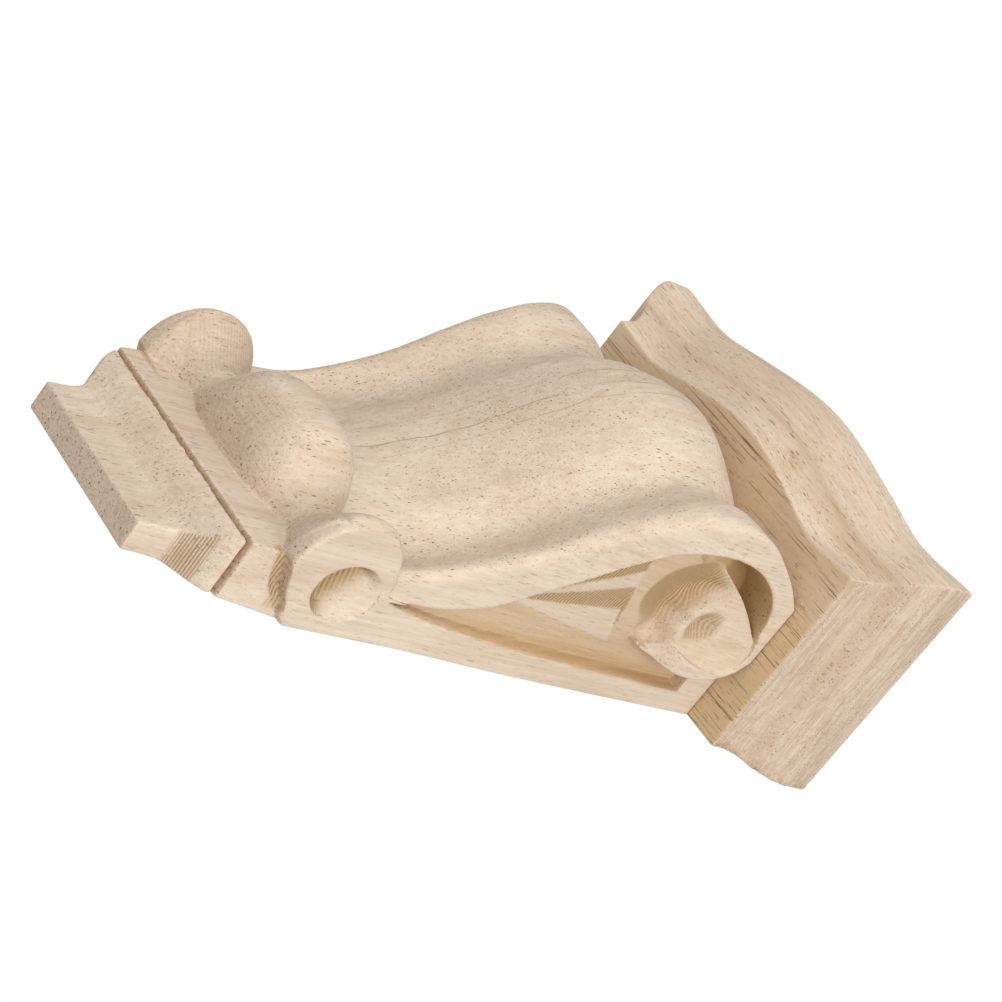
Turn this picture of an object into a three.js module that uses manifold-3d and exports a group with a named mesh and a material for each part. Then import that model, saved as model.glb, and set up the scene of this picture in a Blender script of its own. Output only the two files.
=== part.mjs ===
// Carved wood corbel: a body carved from one block and a moulded cap glued on top of it.
// Millimetres. Z is up the wall, the flat back lies in y = 0 and the front faces -Y.
// The origin is the middle of the flat back. Carving is worked out with h, the height
// above the foot, and w, the depth out from the back, on a body drawn DRAWN_HEIGHT high.
import * as THREE from 'three';
import { mergeVertices } from 'three/examples/jsm/utils/BufferGeometryUtils.js';
import Module from 'manifold-3d';

const wasm = await Module();
wasm.setup();

// Overall sizes
const TOTAL_HEIGHT = 222;
const CAP_HEIGHT = 31.7;
const SEAM_GAP = 0.3;
const CAP_BOTTOM = TOTAL_HEIGHT - CAP_HEIGHT;
const BODY_TOP = CAP_BOTTOM - SEAM_GAP;
const MID_HEIGHT = TOTAL_HEIGHT / 2;

// Height that the body's carving is drawn at, and its stretch to the real body
const DRAWN_HEIGHT = 190;
const BODY_STRETCH = BODY_TOP / DRAWN_HEIGHT;

// Cap plan: half width and corner depth at its underside, and the swell of the serpentine front
const CAP_HALF_WIDTH = 56.3;
const CAP_CORNER_DEPTH = 59.7;
const CAP_SWELL = 6.6;
const CAP_SWELL_REACH = 0.72;
const CAP_DIP = 1.2;
const CAP_FRONT_STEPS = 24;
const CAP_BACK_EASE = 2.2;

// Cap moulding, from the underside up: fillet, cove, quirk, ovolo, edge and eased top
const FILLET_RISE = 4.4;
const FILLET_OUT = 0.7;
const COVE_RISE = 6.8;
const COVE_OUT = 5.3;
const QUIRK_RISE = 0.9;
const QUIRK_OUT = 1.1;
const OVOLO_RISE = 11.0;
const OVOLO_OUT = 5.2;
const TOP_EASE = 1.4;
const CURVE_STEPS = 5;

// Foot: plain step, moulding, V groove and flat band, all round three sides. The moulding
// goes from the step to the band in the shares given at these heights.
const FOOT_HALF_WIDTH = 24.5;
const FOOT_DEPTH = 7.9;
const FOOT_LINE = [[0, 0], [6, 0.05], [9.8, 0.12], [12.6, 0.36], [15.4, 0.62], [17.6, 0.86],
  [19.1, 0.95], [22.1, 1]];
const BAND_START = 22.1;
const BAND_DEPTH = 16.2;
const BAND_HALF_WIDTH = 35.7;
const BAND_END = 38.6;
const BAND_FLARE = 3.4;
const GROOVE_HEIGHT = 20.6;
const GROOVE_HALF = 1.5;
const GROOVE_DEPTH = 1.9;

// Lower scroll: a turned bulge between two valleys and two end discs
const BULGE_HEIGHT = 48.0;
const BULGE_RADIUS = 15.3;
const BULGE_CENTRE = 20.4;
const VALLEY_RADIUS = 8.4;
const VALLEY_CENTRE = 12.2;
const VALLEY_OUT = 24.0;
const DISC_HEIGHT = 46.6;
const DISC_RADIUS = 17.5;
const DISC_CENTRE = 14.5;
const DISC_OUT = 39.5;
const DISC_FACE = 41.2;
const DISC_EASE = 2.4;
const EYE_HEIGHT = 49.8;
const EYE_DEPTH_OUT = 11.8;
const EYE_RADIUS = 9.6;
const EYE_SINK = 4.6;

// S scroll seen from the side: depth of the raised edge, and how far the middle stands above it
const RIDGE_LINE = [[58, 20.8], [74, 23.4], [88, 28.8], [102, 35.5], [116, 45.5], [130, 54.2],
  [143, 59.8], [153, 61.7], [164, 59.8], [174, 55.2], [183, 49.3], [190.3, 42.6]];
const MIDDLE_RISE = [[58, 3.4], [100, 4.2], [130, 5.4], [150, 6.4], [164, 8.4], [176, 10.0],
  [190.3, 9.0]];
const MIDDLE_REACH = 30;
const FLUTE_OUT = 28.5;
const FLUTE_REACH = 12.5;
const FLUTE_SINK = 3.8;
const RIDGE_EASE = 3.8;
const SCROLL_SIDE = [[60, 40.2], [83, 40.4], [97, 41.2], [111, 42.4], [125, 44.2], [139, 46.2],
  [153, 48.4], [165, 49.4], [190.3, 49.4]];

// Side recess between the raised edge and the strip along the back
const STRIP_SIDE = [[40, 41.2], [72, 41.2], [118, 43.0], [190.3, 44.0]];
const SIDE_SPLIT = 64.3;
const OUTSIDE = 80;
const RECESS_START = 64.4;
const VOLUTE_START = 132;
const RECESS_END = 185.2;
const RECESS_LOW = [[64.4, 12.0], [74, 10.2], [90, 8.8], [125, 7.6], [185, 5.8]];
const RECESS_HIGH = [[64.4, 12.1], [80, 12.6], [93, 15.6], [101.5, 19.9], [113.5, 28.4],
  [130, 43.6], [138.5, 49.2], [148, 51.2], [165.7, 50.4]];
const FLOOR_LOW = 35.8;
const FLOOR_SLOPE = 0.25;
const WALL_RUN = 2.4;
const COVE_RUN = 4.2;

// Volute: a hollow inside a ribbon, round an oval boss that winds up from the recess floor
const VOLUTE_HEIGHT = 165.7;
const VOLUTE_DEPTH = 32.7;
const HOLLOW_RADIUS = 17.7;
const HOLLOW_FLOOR = 36.5;
const RIBBON_LOW = [[140, 23.5], [147, 20.2], [154, 18.0], [166, 15.4], [173, 14.6], [181, 16.4],
  [187, 20.0], [190.3, 23.8]];
const BOSS_HEIGHT = 162.2;
const BOSS_DEPTH_OUT = 30.6;
const BOSS_LONG = 21.4;
const BOSS_SHORT = 14.4;
const BOSS_TILT = -0.14;
const BOSS_SLOPE = 0.52;
const BOSS_WALL = 0.14;
const DIMPLE_HEIGHT = 160.2;
const DIMPLE_DEPTH_OUT = 29.6;
const DIMPLE_RADIUS = 5.4;
const DIMPLE_SINK = 3.4;

// Triangular sinking beside the volute
const CHIP_A = [101.4, 19.9];
const CHIP_B = [130.0, 43.4];
const CHIP_C = [139.0, 17.4];
const CHIP_SINK = 4.2;

const clamp = (t) => Math.min(1, Math.max(0, t));
const smooth = (t) => (1 - Math.cos(Math.PI * clamp(t))) / 2;
const mix = (a, b, t) => a + (b - a) * t;

// Smooth curve through [position, value] stations that never overshoots them
function curve(stations) {
  const n = stations.length;
  const slopes = [];
  for (let i = 0; i < n - 1; i += 1) {
    slopes.push((stations[i + 1][1] - stations[i][1]) / (stations[i + 1][0] - stations[i][0]));
  }
  const tangents = stations.map((_, i) => {
    if (i === 0) return slopes[0];
    if (i === n - 1) return slopes[n - 2];
    const a = slopes[i - 1];
    const b = slopes[i];
    return a * b <= 0 ? 0 : (2 * a * b) / (a + b);
  });
  return (x) => {
    if (x <= stations[0][0]) return stations[0][1];
    if (x >= stations[n - 1][0]) return stations[n - 1][1];
    let i = 0;
    while (x > stations[i + 1][0]) i += 1;
    const span = stations[i + 1][0] - stations[i][0];
    const t = (x - stations[i][0]) / span;
    const t2 = t * t;
    const t3 = t2 * t;
    return (2 * t3 - 3 * t2 + 1) * stations[i][1] + (t3 - 2 * t2 + t) * span * tangents[i]
      + (3 * t2 - 2 * t3) * stations[i + 1][1] + (t3 - t2) * span * tangents[i + 1];
  };
}

const footLine = curve(FOOT_LINE);
const ridgeLine = curve(RIDGE_LINE);
const middleRise = curve(MIDDLE_RISE);
const scrollSide = curve(SCROLL_SIDE);
const stripSide = curve(STRIP_SIDE);
const recessLow = curve(RECESS_LOW);
const recessHigh = curve(RECESS_HIGH);
const ribbonLow = curve(RIBBON_LOW);

function groove(h) {
  return GROOVE_DEPTH * clamp(1 - Math.abs(h - GROOVE_HEIGHT) / GROOVE_HALF);
}

// Radius, depth and height of the lower scroll's centre at s, the distance from mid width
function scrollSection(s) {
  if (s < VALLEY_OUT) {
    const t = smooth((s / VALLEY_OUT) ** 1.7);
    return [mix(BULGE_RADIUS, VALLEY_RADIUS, t), mix(BULGE_CENTRE, VALLEY_CENTRE, t),
      mix(BULGE_HEIGHT, DISC_HEIGHT, t)];
  }
  const t = smooth((s - VALLEY_OUT) / (DISC_OUT - VALLEY_OUT));
  const past = clamp((s - DISC_FACE + DISC_EASE) / DISC_EASE);
  const ease = DISC_EASE * (1 - Math.sqrt(1 - past * past * 0.98));
  return [mix(VALLEY_RADIUS, DISC_RADIUS, t) - ease, mix(VALLEY_CENTRE, DISC_CENTRE, t),
    DISC_HEIGHT];
}

// Depth of the front at x and h
function frontDepth(x, h) {
  const s = Math.abs(x);
  let depth = mix(FOOT_DEPTH, BAND_DEPTH, footLine(h)) - groove(h);
  const [radius, centre, height] = scrollSection(s);
  const off = h - height;
  if (Math.abs(off) < radius) depth = Math.max(depth, centre + Math.sqrt(radius * radius - off * off));
  if (h > height) {
    const edge = scrollSide(h);
    const rise = middleRise(h) * (1 - smooth(s / MIDDLE_REACH));
    const flute = FLUTE_SINK * (1 - smooth(Math.abs(s - FLUTE_OUT) / FLUTE_REACH));
    const past = clamp((s - edge + RIDGE_EASE) / RIDGE_EASE);
    const ease = RIDGE_EASE * (1 - Math.sqrt(1 - past * past * 0.98));
    depth = Math.max(depth, ridgeLine(h) + rise - flute - ease);
  }
  return depth;
}

// How far a point lies inside the triangular sinking, as shares from its three sides
function chipShares(h, w) {
  const area = (CHIP_B[0] - CHIP_A[0]) * (CHIP_C[1] - CHIP_A[1])
    - (CHIP_C[0] - CHIP_A[0]) * (CHIP_B[1] - CHIP_A[1]);
  const b = ((h - CHIP_A[0]) * (CHIP_C[1] - CHIP_A[1])
    - (CHIP_C[0] - CHIP_A[0]) * (w - CHIP_A[1])) / area;
  const c = ((CHIP_B[0] - CHIP_A[0]) * (w - CHIP_A[1])
    - (h - CHIP_A[0]) * (CHIP_B[1] - CHIP_A[1])) / area;
  return [1 - b - c, b, c];
}

// Floor of the side recess, with the triangular sinking
function recessFloor(h, w) {
  const floor = FLOOR_LOW + FLOOR_SLOPE * (w - 8) * smooth((h - 90) / 40);
  const [a, b, c] = chipShares(h, w);
  if (a < 0 || b < 0 || c < 0) return floor;
  return floor - CHIP_SINK * clamp(b / 0.7);
}

// Oval boss of the volute: share 0 at its rim and 1 in the middle, and the angle round it
function bossPolar(h, w) {
  const dh = h - BOSS_HEIGHT;
  const dw = w - BOSS_DEPTH_OUT;
  const along = (dh * Math.cos(BOSS_TILT) + dw * Math.sin(BOSS_TILT)) / BOSS_LONG;
  const across = (dw * Math.cos(BOSS_TILT) - dh * Math.sin(BOSS_TILT)) / BOSS_SHORT;
  return [1 - Math.hypot(along, across), Math.atan2(across, along)];
}

// Half width inside the recess and the volute
function carvedSide(h, w, strip, ribbon) {
  const out = h - VOLUTE_HEIGHT;
  const up = w - VOLUTE_DEPTH;
  const low = clamp((w - ribbonLow(h)) / WALL_RUN + 0.5);
  let side = mix(strip, recessFloor(h, w), smooth((w - recessLow(h)) / COVE_RUN));
  side = mix(side, HOLLOW_FLOOR, smooth((h - 142) / 30) * smooth((up + 6) / 6));
  if (out < 0) {
    side = mix(side, ribbon, clamp((w - recessHigh(h)) / WALL_RUN + 0.5));
  } else {
    const edge = Math.hypot(out, up) - HOLLOW_RADIUS;
    side = mix(side, ribbon, clamp(edge / WALL_RUN + 0.5) * low);
  }
  const [share, turn] = bossPolar(h, w);
  if (share > 0) {
    const slope = mix(BOSS_WALL, BOSS_SLOPE, smooth((Math.cos(turn - 2.5) - 0.1) / 0.8));
    side = mix(side, Math.max(side, ribbon), smooth(share / slope));
    const fromDimple = Math.hypot(h - DIMPLE_HEIGHT, w - DIMPLE_DEPTH_OUT) / DIMPLE_RADIUS;
    side -= DIMPLE_SINK * (1 - smooth(fromDimple));
  }
  if (up < 0 && share < BOSS_WALL) {
    side = mix(side, Math.max(side, ribbon), low * smooth((h - 146) / 14));
  }
  return side;
}

// Half width of the body at height h and depth w: the carving of the two sides
function halfWidth(h, w) {
  if (h < BAND_END) {
    const flare = BAND_FLARE * clamp((h - BAND_START) / (BAND_END - BAND_START));
    return mix(FOOT_HALF_WIDTH, BAND_HALF_WIDTH, footLine(h)) + flare - groove(h);
  }
  const strip = stripSide(h);
  if (h < RECESS_START) {
    const fromEye = Math.hypot(h - EYE_HEIGHT, w - EYE_DEPTH_OUT) / EYE_RADIUS;
    return strip - EYE_SINK * (1 - smooth(fromEye));
  }
  const ribbon = scrollSide(h);
  if (h < RECESS_END) return carvedSide(h, w, strip, ribbon);
  return mix(strip, ribbon, clamp((w - ribbonLow(h)) / WALL_RUN + 0.5));
}

// Evenly spaced stations between each pair of marks, with the given number of steps
function stations(marks) {
  const out = [marks[0][0]];
  for (let i = 1; i < marks.length; i += 1) {
    const [end, steps] = marks[i];
    const start = marks[i - 1][0];
    for (let k = 1; k <= steps; k += 1) out.push(mix(start, end, k / steps));
  }
  return out;
}

// Closed block between two surfaces over a grid of u and v stations
function blockBetween(us, vs, lower, upper, place) {
  const points = [];
  const faces = [];
  const nv = vs.length;
  const layer = us.length * nv;
  for (const surface of [lower, upper]) {
    for (const u of us) for (const v of vs) points.push(place(u, v, surface(u, v)));
  }
  const at = (i, j, top) => (top ? layer : 0) + i * nv + j;
  const quad = (a, b, c, d) => faces.push([a, b, c], [a, c, d]);
  for (let i = 0; i < us.length - 1; i += 1) {
    for (let j = 0; j < nv - 1; j += 1) {
      quad(at(i, j, true), at(i + 1, j, true), at(i + 1, j + 1, true), at(i, j + 1, true));
      quad(at(i, j, false), at(i, j + 1, false), at(i + 1, j + 1, false), at(i + 1, j, false));
    }
    quad(at(i, 0, false), at(i + 1, 0, false), at(i + 1, 0, true), at(i, 0, true));
    const e = nv - 1;
    quad(at(i, e, false), at(i, e, true), at(i + 1, e, true), at(i + 1, e, false));
  }
  for (let j = 0; j < nv - 1; j += 1) {
    quad(at(0, j, false), at(0, j, true), at(0, j + 1, true), at(0, j + 1, false));
    const e = us.length - 1;
    quad(at(e, j, false), at(e, j + 1, false), at(e, j + 1, true), at(e, j, true));
  }
  return closed(points, faces);
}

// Manifold solid from points and triangles, turned so that its volume is positive
function closed(points, faces) {
  let volume = 0;
  for (const [a, b, c] of faces) {
    const [p, q, r] = [points[a], points[b], points[c]];
    volume += p[0] * (q[1] * r[2] - q[2] * r[1]) - p[1] * (q[0] * r[2] - q[2] * r[0])
      + p[2] * (q[0] * r[1] - q[1] * r[0]);
  }
  const turned = volume < 0 ? faces.map(([a, b, c]) => [a, c, b]) : faces;
  const mesh = new wasm.Mesh({
    numProp: 3,
    vertProperties: new Float32Array(points.flat()),
    triVerts: new Uint32Array(turned.flat()),
  });
  mesh.merge();
  return new wasm.Manifold(mesh);
}

function toMesh(solid, name) {
  const raw = solid.getMesh();
  let geometry = new THREE.BufferGeometry();
  const positions = new Float32Array(raw.vertProperties);
  geometry.setAttribute('position', new THREE.BufferAttribute(positions, 3));
  geometry.setIndex(new THREE.BufferAttribute(new Uint32Array(raw.triVerts), 1));
  geometry = mergeVertices(geometry, 1e-4);
  const mesh = new THREE.Mesh(geometry, new THREE.MeshStandardMaterial({ color: 0xd9c3a0 }));
  mesh.name = name;
  return mesh;
}

// Point of the body from its distance across, depth and drawn height
const bodyPoint = (x, w, h) => [x, -w, h * BODY_STRETCH - MID_HEIGHT];

const bodyPointAt = (x, h, w) => bodyPoint(x, w, h);

function sideBlock(heights, depths) {
  return blockBetween(heights, depths, (h, w) => -halfWidth(h, w), halfWidth,
    (h, w, x) => bodyPoint(x, w, h));
}

function makeBody() {
  const grooveMarks = [[GROOVE_HEIGHT - GROOVE_HALF, 4], [GROOVE_HEIGHT, 1], [BAND_START, 1]];
  const heights = stations([[0, 0], [FOOT_LINE[1][0], 1], [FOOT_LINE[2][0], 1], ...grooveMarks,
    [BAND_START + 6.4, 1], [RECESS_START - 0.4, 11], [VOLUTE_START - 2, 12],
    [RECESS_END - 7.2, 11], [DRAWN_HEIGHT, 5]]);
  const across = stations([[-50, 0], [-43, 4], [-22, 6], [22, 9], [43, 6], [50, 4]]);
  const front = blockBetween(across, heights, () => 0, frontDepth, bodyPointAt);
  const plain = sideBlock(stations([[-2, 0], [FOOT_LINE[1][0], 2], [FOOT_LINE[2][0], 1],
    ...grooveMarks, [BAND_END - 0.1, 1], [BAND_END + 0.1, 1]]), [-2, OUTSIDE]);
  const eye = sideBlock(stations([[BAND_END + 0.1, 0], [SIDE_SPLIT - 2.3, 12], [SIDE_SPLIT, 2]]),
    stations([[-2, 0], [2, 1], [22, 9], [OUTSIDE, 1]]));
  const recess = sideBlock(stations([[SIDE_SPLIT, 0], [VOLUTE_START, 18]]),
    stations([[-2, 0], [4, 1], [12, 3], [55, 15], [OUTSIDE, 1]]));
  const volute = sideBlock(stations([[VOLUTE_START, 0], [RECESS_END - 0.2, 24],
    [RECESS_END + 0.2, 1], [DRAWN_HEIGHT, 2], [DRAWN_HEIGHT + 2, 1]]),
    stations([[-2, 0], [4, 1], [12, 3], [53, 20], [OUTSIDE, 1]]));
  const sides = plain.add(eye).add(recess).add(volute);
  return toMesh(front.intersect(sides), 'body');
}

// Swell of the cap's front at a share of its half width: out in the middle, dipping near the ends
function capSwell(share) {
  const s = Math.abs(share);
  const dip = CAP_DIP * Math.sin(Math.PI * clamp((s - 0.45) / 0.55)) ** 2;
  return CAP_SWELL * (1 - smooth(s / CAP_SWELL_REACH)) - dip;
}

// Cap moulding as [height, projection] from the underside up
function capProfile() {
  const rows = [[0, 0], [FILLET_RISE * 0.9, FILLET_OUT * 0.5], [FILLET_RISE, FILLET_OUT]];
  let [h, out] = rows[rows.length - 1];
  for (let i = 1; i <= CURVE_STEPS; i += 1) {
    const turn = (Math.PI / 2) * (i / CURVE_STEPS);
    rows.push([h + COVE_RISE * Math.sin(turn), out + COVE_OUT * (1 - Math.cos(turn))]);
  }
  [h, out] = rows[rows.length - 1];
  rows.push([h + QUIRK_RISE, out + QUIRK_OUT]);
  [h, out] = rows[rows.length - 1];
  for (let i = 1; i <= CURVE_STEPS; i += 1) {
    const turn = (Math.PI / 2) * (i / CURVE_STEPS);
    rows.push([h + OVOLO_RISE * (i / CURVE_STEPS), out + OVOLO_OUT * Math.sin(turn)]);
  }
  out = rows[rows.length - 1][1];
  rows.push([CAP_HEIGHT - TOP_EASE, out]);
  rows.push([CAP_HEIGHT - TOP_EASE * 0.3, out - TOP_EASE * 0.3]);
  rows.push([CAP_HEIGHT, out - TOP_EASE]);
  return rows;
}

function capOutline(out) {
  const half = CAP_HALF_WIDTH + out;
  const ring = [[-half + CAP_BACK_EASE, 0], [-half, -CAP_BACK_EASE]];
  for (let i = 0; i <= CAP_FRONT_STEPS; i += 1) {
    const share = -1 + (2 * i) / CAP_FRONT_STEPS;
    ring.push([share * half, -(CAP_CORNER_DEPTH + out + capSwell(share))]);
  }
  ring.push([half, -CAP_BACK_EASE], [half - CAP_BACK_EASE, 0]);
  return ring;
}

function makeCap() {
  const points = [];
  const faces = [];
  const rows = capProfile();
  const rings = rows.map(([, out]) => capOutline(out));
  const count = rings[0].length;
  rings.forEach((ring, k) => {
    for (const [x, y] of ring) points.push([x, y, CAP_BOTTOM + rows[k][0] - MID_HEIGHT]);
  });
  for (let k = 0; k < rings.length - 1; k += 1) {
    for (let i = 0; i < count; i += 1) {
      const a = k * count + i;
      const b = k * count + ((i + 1) % count);
      faces.push([a, b, b + count], [a, b + count, a + count]);
    }
  }
  const flat = (ring) => THREE.ShapeUtils.triangulateShape(
    ring.map(([x, y]) => new THREE.Vector2(x, y)), []);
  const last = (rings.length - 1) * count;
  for (const [a, b, c] of flat(rings[0])) faces.push([a, c, b]);
  for (const [a, b, c] of flat(rings[rings.length - 1])) faces.push([last + a, last + b, last + c]);
  return toMesh(closed(points, faces), 'cap');
}

const corbel = new THREE.Group();
corbel.name = 'carved_corbel';
corbel.add(makeBody(), makeCap());

export default corbel;
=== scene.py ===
# Carved wood corbel: the body and the cap are remade as fine meshes that keep the solids'
# form, with procedural wood materials, white surroundings, soft lamps and the camera.
# Lengths in this file are millimetres until a mesh is made. Carving is worked out with s,
# the distance from mid width, h, the height above the foot, and w, the depth out from the
# back, as signed distances that are negative inside the wood.
import math

import bpy
import numpy as np
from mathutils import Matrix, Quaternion, Vector

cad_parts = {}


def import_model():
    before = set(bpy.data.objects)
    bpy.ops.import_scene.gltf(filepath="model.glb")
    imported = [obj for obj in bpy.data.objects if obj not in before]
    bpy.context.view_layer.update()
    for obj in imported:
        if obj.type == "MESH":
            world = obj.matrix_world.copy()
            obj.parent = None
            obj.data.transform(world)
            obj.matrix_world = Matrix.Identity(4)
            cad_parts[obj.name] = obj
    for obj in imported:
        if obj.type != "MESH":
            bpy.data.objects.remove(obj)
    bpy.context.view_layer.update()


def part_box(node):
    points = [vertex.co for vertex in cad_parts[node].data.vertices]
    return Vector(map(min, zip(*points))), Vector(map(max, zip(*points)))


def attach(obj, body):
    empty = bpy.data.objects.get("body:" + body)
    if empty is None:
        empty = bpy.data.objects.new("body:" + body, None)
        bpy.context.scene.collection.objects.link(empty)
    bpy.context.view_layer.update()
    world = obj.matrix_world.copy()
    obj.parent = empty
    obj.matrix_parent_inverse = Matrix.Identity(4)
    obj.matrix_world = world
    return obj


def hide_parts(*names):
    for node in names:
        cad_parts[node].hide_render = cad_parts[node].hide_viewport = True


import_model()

MM = 0.001
FOOT_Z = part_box("body")[0].z / MM
BODY_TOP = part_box("body")[1].z / MM - FOOT_Z
CAP_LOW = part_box("cap")[0].z / MM
CAP_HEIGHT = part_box("cap")[1].z / MM - CAP_LOW

# Fineness of the meshes
CELL = 0.42
BODY_TRIANGLES = 196000
CAP_TRIANGLES = 150000
GRID_MARGIN = 0.9
GRID_TOP_MARGIN = 1.2
BODY_GRID_HALF = 51
BODY_GRID_DEPTH = 72
CAP_GRID_HALF = 70
CAP_GRID_DEPTH = 81
SHARP_ANGLE = 38
NORMAL_WEIGHT = 60

# Eased edges and fillets, as radii
CRISP = 0.3
SOFT = 0.5
FOOT_FILLET = 0.7
SCROLL_FILLET = 1.0
DISC_EDGE = 1.4
DISC_FILLET = 0.8
SIDE_FILLET = 0.4
HOLLOW_EDGES = {"recess": (0.8, SOFT), "chip": (SOFT, 0.35), "inner": (CRISP, 0.35),
                "deep": (1.2, 0.4), "disc_groove": (1.0, CRISP)}

# Foot
FOOT_HALF_WIDTH = 25.0
FOOT_DEPTH = 7.9
FOOT_LINE = [(0, 0), (6, 0.03), (10.2, 0.10), (12.8, 0.30), (15.2, 0.56), (17.4, 0.76),
             (19.4, 0.87), (21.0, 0.93), (21.7, 0.98), (22.1, 1)]
BAND_START = 22.1
BAND_END = 38.6
BAND_DEPTH = 16.2
BAND_HALF_WIDTH = 35.7
BAND_FLARE = 3.4
GROOVE_HEIGHT = 21.3
GROOVE_HALF = 0.6
GROOVE_DEPTH = 1.5
# Torn wood at the groove: size of a tear, its height and its seed
GROOVE_TEARS = [(0.9, 0.22, 5), (2.2, 0.14, 6)]
GROOVE_TEAR_REACH = 2.0
GROOVE_TEAR_SHARE = 0.9

# Lower scroll
BULGE_HEIGHT = 48.0
BULGE_RADIUS = 15.3
BULGE_CENTRE = 20.4
VALLEY_RADIUS = 9.6
VALLEY_CENTRE = 12.6
VALLEY_OUT = 24.0
DISC_HEIGHT = 46.6
DISC_RADIUS = 17.1
DISC_CENTRE = 14.5
DISC_OUT = 39.5
DISC_SIDE = 41.2
EYE_PLACE = (50.5, 11.9)
EYE_RADII = (10.1, 7.9)
EYE_SINK = 5.6
EYE_LEAST = 0.7
EYE_TOWARD = (-0.88, 0.45)
EYE_SINK_FADE = (-0.75, 1.35)
EYE_MARK_FADE = (-0.30, 0.6)
EYE_RIM = (1.02, 0.34)
EYE_LEAN = 0.92
EYE_TOP = 64
EYE_SKIN = 0.02
VALLEY_EASE = 2.1
DISC_TRIM = 0.4
FAR = 50

# S scroll
CORE_HALF_WIDTH = 33
RIDGE_LINE = [(58, 19.4), (74, 22.2), (88, 28), (102, 35.7), (116, 46.1), (130, 54.9),
              (143, 60), (153, 61.2), (164, 58.8), (174, 53.9), (183, 48.4), (190.3, 42.6)]
MIDDLE_RISE = [(58, 3.4), (100, 4.2), (130, 5.4), (150, 6.4), (164, 8.4), (176, 10), (190.3, 9)]
MIDDLE_REACH = 30
FLUTE_OUT = 28.5
FLUTE_REACH = 12.5
FLUTE_SINK = 3.8
RIDGE_EASE = 4.2
EDGE_EASE = [(0, 0.5), (28, 0.5), (40, 2.2), (60, 2.6), (72, RIDGE_EASE), (135, RIDGE_EASE),
             (152, 3.0), (168, 1.5), (190, 1.0)]
CORE_START = 28
BAND_LAP = 0.6
STRIP_LAP = 1.2
SCROLL_SIDE = [(60, 40.2), (83, 40.4), (97, 41.2), (111, 42.4), (125, 44.2), (139, 46.2),
               (153, 48.4), (165, 49.4), (190.3, 49.4)]
STRIP_SIDE = [(40, 41.5), (72, 41.6), (118, 43.4), (190.3, 44.4)]

# Side relief: outlines in (h, w), and fades as (where it starts or ends, its run)
PARTING = [(20, 14), (62, 12.3), (70, 11.4), (80, 11), (100, 12), (130, 16), (138, 23),
           (150, 18), (155.1, 16.4), (162.2, 15), (168.4, 14.6), (175.3, 14.8),
           (180.3, 15.9), (186.5, 19), (190.5, 24.1)]
RECESS_LOW = [(64.4, 11.8), (74, 10), (90, 8.6), (125, 7.4), (185, 6.4)]
RECESS_TOP = [(64.4, 12.3), (80, 12.6), (93, 15.6), (101.5, 19.9), (113.5, 28.4), (124, 37.6),
              (131.7, 43.3)]
RECESS_RIGHT = [(131.7, 43.3), (136.8, 46.8), (144, 49.6), (150, 50.9)]
RECESS_UNDER_BOSS = [(156, 44), (152, 36), (151, 28), (150, 18)]
RECESS_RING = [(150, 18), (155.1, 16.4), (162.2, 15), (168.4, 14.6), (175.3, 14.8),
               (179, 15.5)]
RECESS_END = 179
FLOOR_LOW = 37.8
FLOOR_RISE = 2.0
FLOOR_RISE_FADE = (70, 115)
FLOOR_SLOPE = 0.15
FLOOR_SLOPE_FADE = (90, 40)
FLOOR_SLOPE_FROM = 8
COVE_RUN = 0.9
COVE_LIFT = 0.3
CHIP = [(101.4, 19.9), (132.2, 43.3), (144.4, 14.6)]
CHIP_STEPS = [(0, 0), (0.2, 2.4), (0.42, 2.7), (0.64, 5.2), (0.74, 5.0), (1, 0)]
CHIP_SIDE = 2.2
CHIP_SIDE_LEAST = 0.25
CHIP_LEAST = 0.4
CHIP_LIFT = 0.35
CHIP_GROWTH = 0.8
DISC_GROOVE = [(28.2, 19.6), (28.4, 17), (29.4, 12.6), (30.7, 8.9), (32.6, 6), (34.8, 3.6),
               (36.2, 2.4), (36.8, 3.6), (35.8, 6), (34.1, 8.4), (32.2, 12.4), (30.2, 16.4)]
DISC_GROOVE_LEVEL = 37.2
DISC_GROOVE_RISE = 1.6
DISC_GROOVE_FADE = (8, 5)
DISC_LEFT = [(0, 38.6), (3, 36.5), (7.4, 34.0), (9.5, 33.0), (12.4, 31.4), (14.5, 29.8)]

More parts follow.
